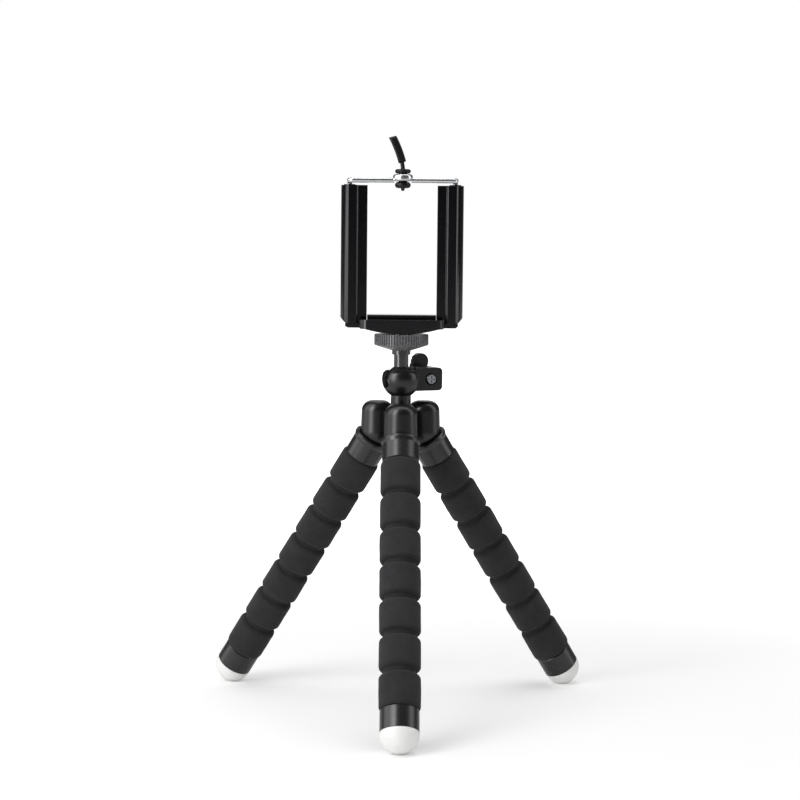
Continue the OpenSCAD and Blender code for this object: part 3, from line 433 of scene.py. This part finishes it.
SPRING_TURNS, SPRING_WIRE_R, WIRE_SIDES, STEPS_A_TURN = 14, 0.25 * MM, 10, 20
for side in ("left", "right"):
    low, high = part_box(side + "_spring")
    coil_r = (high.x - low.x) / 2 - SPRING_WIRE_R
    length = high.z - low.z
    bpy.ops.object.select_all(action="DESELECT")
    bpy.ops.mesh.primitive_circle_add(vertices=WIRE_SIDES, radius=SPRING_WIRE_R, location=(coil_r, 0, 0),
                                      rotation=(math.pi / 2, 0, 0))
    spring = bpy.context.object
    spring.name = spring.data.name = side + "_coil"
    bpy.ops.object.transform_apply(location=True, rotation=True, scale=True)
    winding = spring.modifiers.new("winding", "SCREW")
    winding.iterations, winding.steps, winding.render_steps = SPRING_TURNS, STEPS_A_TURN, STEPS_A_TURN
    winding.screw_offset = (length - 2 * SPRING_WIRE_R) / SPRING_TURNS
    bpy.ops.object.modifier_apply(modifier="winding")
    bpy.ops.object.mode_set(mode="EDIT")
    bpy.ops.mesh.select_all(action="SELECT")
    bpy.ops.mesh.fill_holes(sides=0)
    bpy.ops.mesh.normals_make_consistent(inside=False)
    bpy.ops.object.mode_set(mode="OBJECT")
    bpy.ops.object.shade_smooth_by_angle(angle=math.radians(60))
    spring.location = ((low.x + high.x) / 2, (low.y + high.y) / 2, low.z + SPRING_WIRE_R)
    bpy.ops.object.transform_apply(location=True, rotation=True, scale=True)
    spring.data.materials.append(zinc_plate)
    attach(spring, "clip")
    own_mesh(spring)
    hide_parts(side + "_spring")


# Pull tab
# A black rubber tab is buttoned through the eye of the yoke: two round flanges hold the wire between them, and
# a thin neck carries the tab, which curls to the left and has two ridges along each face for the fingers.

WAIST_R, FLANGE_R, STALK_R = 1.65 * MM, 3.0 * MM, 0.8 * MM
HALF_WAIST, UPPER_FLANGE, LOWER_FLANGE, TIP = 1.55 * MM, 1.7 * MM, 2.4 * MM, 1.0 * MM
STALK_TOP, STALK_FILLET, STALK_LEAN = 6.5 * MM, 0.4 * MM, 0.45 * MM
TAB_SIZE, TAB_LEAN, TAB_CURVE = (3.0 * MM, 2.2 * MM, 10.4 * MM), math.radians(15), 1.2 * MM
RIDGE_IN, RIDGE_OUT, RIDGE_HEIGHT, RIDGE_MARGIN = 0.3 * MM, 1.2 * MM, 0.5 * MM, 0.5 * MM
low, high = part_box("pull_tab")
eye = Vector((0, (low.y + high.y) / 2, low.z + TIP + LOWER_FLANGE + HALF_WAIST))
upper_top, lower_low = HALF_WAIST + UPPER_FLANGE, -HALF_WAIST - LOWER_FLANGE
button = turned("pull_button", [(STALK_R, STALK_TOP), (STALK_R, upper_top + STALK_FILLET)]
                + arc(STALK_R + STALK_FILLET, upper_top + STALK_FILLET, STALK_FILLET, 180, 270, 5)
                + arc(FLANGE_R - UPPER_FLANGE / 2, upper_top - UPPER_FLANGE / 2, UPPER_FLANGE / 2, 90, -90, 12)
                + [(WAIST_R, HALF_WAIST), (WAIST_R, -HALF_WAIST)]
                + arc(FLANGE_R - LOWER_FLANGE / 2, lower_low + LOWER_FLANGE / 2, LOWER_FLANGE / 2, 90, -90, 14)
                + [(STALK_R, lower_low), (STALK_R * 0.6, lower_low - TIP)])
for v in button.data.vertices:
    v.co.x -= STALK_LEAN * max(0, v.co.z - upper_top) / (STALK_TOP - upper_top)
bpy.ops.object.select_all(action="DESELECT")
bpy.ops.mesh.primitive_cube_add(size=1, location=(0, 0, 0))
tab = bpy.context.object
tab.scale = TAB_SIZE
bpy.ops.object.transform_apply(location=True, rotation=True, scale=True)
bpy.ops.object.mode_set(mode="EDIT")
for cut_x in (-RIDGE_OUT, -RIDGE_IN, RIDGE_IN, RIDGE_OUT):
    bpy.ops.mesh.select_all(action="SELECT")
    bpy.ops.mesh.bisect(plane_co=(cut_x, 0, 0), plane_no=(1, 0, 0))
ridge_end, tab_cuts = TAB_SIZE[2] / 2 - RIDGE_MARGIN, 9
for step in range(tab_cuts):
    bpy.ops.mesh.select_all(action="SELECT")
    bpy.ops.mesh.bisect(plane_co=(0, 0, ridge_end * (2 * step / (tab_cuts - 1) - 1)), plane_no=(0, 0, 1))
bpy.ops.mesh.select_all(action="DESELECT")
bpy.ops.object.mode_set(mode="OBJECT")
for face in tab.data.polygons:
    face.select = (abs(face.normal.y) > 0.9 and RIDGE_IN < abs(face.center.x) < RIDGE_OUT
                   and abs(face.center.z) < ridge_end)
bpy.ops.object.mode_set(mode="EDIT")
bpy.ops.mesh.extrude_region_shrink_fatten(TRANSFORM_OT_shrink_fatten={"value": RIDGE_HEIGHT})
bpy.ops.object.mode_set(mode="OBJECT")
rounding = tab.modifiers.new("rounding", "SUBSURF")
rounding.levels = rounding.render_levels = 2
bpy.ops.object.modifier_apply(modifier="rounding")
bpy.ops.object.shade_smooth_by_angle(angle=math.radians(50))
for v in tab.data.vertices:
    v.co.x -= TAB_CURVE * (v.co.z / TAB_SIZE[2] + 0.5) ** 2
tab.matrix_world = (Matrix.Translation((-STALK_LEAN, 0, STALK_TOP)) @ Matrix.Rotation(-TAB_LEAN, 4, "Y")
                    @ Matrix.Translation((0, 0, TAB_SIZE[2] / 2 - STALK_R)))
button.select_set(True)
bpy.context.view_layer.objects.active = button
bpy.ops.object.join()
button.location = eye
bpy.ops.object.transform_apply(location=True, rotation=True, scale=True)
button.data.materials.clear()
button.data.materials.append(black_rubber)
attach(button, "yoke")
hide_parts("pull_tab")


# Studio
# A white sweep under a tall soft lamp in front to the left and a weaker one from above, seen by the camera.
# Glossy pieces mirror a panel in front to the left, one at each side, the white wall and the dark room between.

scene = bpy.context.scene
scene.view_settings.view_transform = "Standard"
bpy.ops.object.select_all(action="DESELECT")
bpy.ops.mesh.primitive_plane_add(size=6, location=(0, 0, 0))
floor = bpy.context.object
floor.name = "floor"
paper, tree, shader, place = new_finish("white_paper", "#f6f6f6", Roughness=0.9)
# The lamps light only the middle of the sweep, so what the camera sees farther out is lifted to white
reach = add(tree, "ShaderNodeVectorMath", {0: place}, operation="LENGTH")
lift = add(tree, "ShaderNodeMapRange", {"Value": reach.outputs["Value"], "From Min": 0.12, "From Max": 0.7,
                                        "To Min": 0.2, "To Max": 0.9}, interpolation_type="SMOOTHSTEP")
rays = add(tree, "ShaderNodeLightPath", {})
seen = add(tree, "ShaderNodeMath", {0: rays.outputs["Is Camera Ray"], 1: lift.outputs["Result"]},
           operation="MULTIPLY")
tree.links.new(seen.outputs["Value"], shader.inputs["Emission Strength"])
shader.inputs["Emission Color"].default_value = (1, 1, 1, 1)
floor.data.materials.append(paper)

AMBIENT, PANEL = 0.5, 4.0
world = bpy.data.worlds.new("studio")
scene.world = world
world.use_nodes = True
tree = world.node_tree
rays = add(tree, "ShaderNodeLightPath", {})
direction = add(tree, "ShaderNodeTexCoord", {}).outputs["Generated"]
axes = add(tree, "ShaderNodeSeparateXYZ", {"Vector": direction}).outputs
# The turn about the object: 0 at the camera, 0.25 at the left side, 0.5 at the wall, 0.75 at the right side
bearing = add(tree, "ShaderNodeMath", {0: axes["X"], 1: axes["Y"]}, operation="ARCTAN2")
turn = add(tree, "ShaderNodeMapRange", {"Value": bearing.outputs["Value"], "From Min": -math.pi, "From Max": math.pi})
room = add(tree, "ShaderNodeValToRGB", {"Fac": turn.outputs["Result"]})
DARK, WALL, FILL, SIDE, FRONT = 0.012, 0.22, 0.36, 0.55, 1.0
panels = ((0.0, DARK), (0.09, DARK), (0.105, FRONT), (0.14, FRONT), (0.16, FILL), (0.21, FILL), (0.22, SIDE),
          (0.29, SIDE), (0.31, DARK), (0.43, DARK), (0.46, WALL), (0.54, WALL), (0.57, DARK), (0.715, DARK),
          (0.73, SIDE), (0.785, SIDE), (0.8, DARK), (1.0, DARK))
stops = room.color_ramp.elements
for _ in panels[2:]:
    stops.new(1.0)
for stop, (position, level) in zip(stops, panels):
    stop.position, stop.color = position, (level, level, level, 1)
mirrored = add(tree, "ShaderNodeMath", {0: room.outputs["Color"], 1: PANEL}, operation="MULTIPLY")
glossy = add(tree, "ShaderNodeMath", {0: rays.outputs["Is Glossy Ray"], 1: mirrored.outputs["Value"]},
             operation="MULTIPLY")
diffuse = add(tree, "ShaderNodeMath", {0: rays.outputs["Is Diffuse Ray"], 1: AMBIENT}, operation="MULTIPLY")
level = add(tree, "ShaderNodeMath", {0: glossy.outputs["Value"], 1: diffuse.outputs["Value"]}, operation="MAXIMUM")
clear = add(tree, "ShaderNodeMath", {0: rays.outputs["Is Camera Ray"], 1: rays.outputs["Is Transmission Ray"]},
            operation="MAXIMUM")
strength = add(tree, "ShaderNodeMath", {0: clear.outputs["Value"], 1: level.outputs["Value"]}, operation="MAXIMUM")
backdrop = tree.nodes["Background"]
backdrop.inputs["Color"].default_value = (1, 1, 1, 1)
tree.links.new(strength.outputs["Value"], backdrop.inputs["Strength"])


def lamp(name, width, height, power, place, target):
    """A soft lamp that points at a target, with its height upright."""
    light = bpy.data.lights.new(name, "AREA")
    light.shape, light.size, light.size_y, light.energy = "RECTANGLE", width, height, power
    holder = bpy.data.objects.new(name, light)
    scene.collection.objects.link(holder)
    holder.location = place
    holder.rotation_mode = "QUATERNION"
    holder.rotation_quaternion = (Vector(target) - Vector(place)).to_track_quat("-Z", "Y")


middle = (0, 0.02, 0.11)
lamp("key", width=0.4, height=0.95, power=4.0, place=(-0.57, -0.49, 0.45), target=middle)
lamp("top", width=0.6, height=0.6, power=2.0, place=(0.1, 0.1, 0.95), target=middle)

PHOTO = 800
FOCAL_PX = 2094.5
camera = bpy.data.cameras.new("camera")
camera.sensor_width = 36
camera.lens = FOCAL_PX / PHOTO * camera.sensor_width
camera.clip_start, camera.clip_end = 0.01, 20
viewer = bpy.data.objects.new("camera", camera)
scene.collection.objects.link(viewer)
PITCH, YAW, ROLL = (math.radians(a) for a in (4.968, 0.426, 0.523))
viewer.matrix_world = (Matrix.Translation((-6.26 * MM, -780.8 * MM, 187.7 * MM)) @ Matrix.Rotation(-YAW, 4, "Z")
                       @ Matrix.Rotation(math.pi / 2 - PITCH, 4, "X") @ Matrix.Rotation(ROLL, 4, "Z"))
scene.camera = viewer
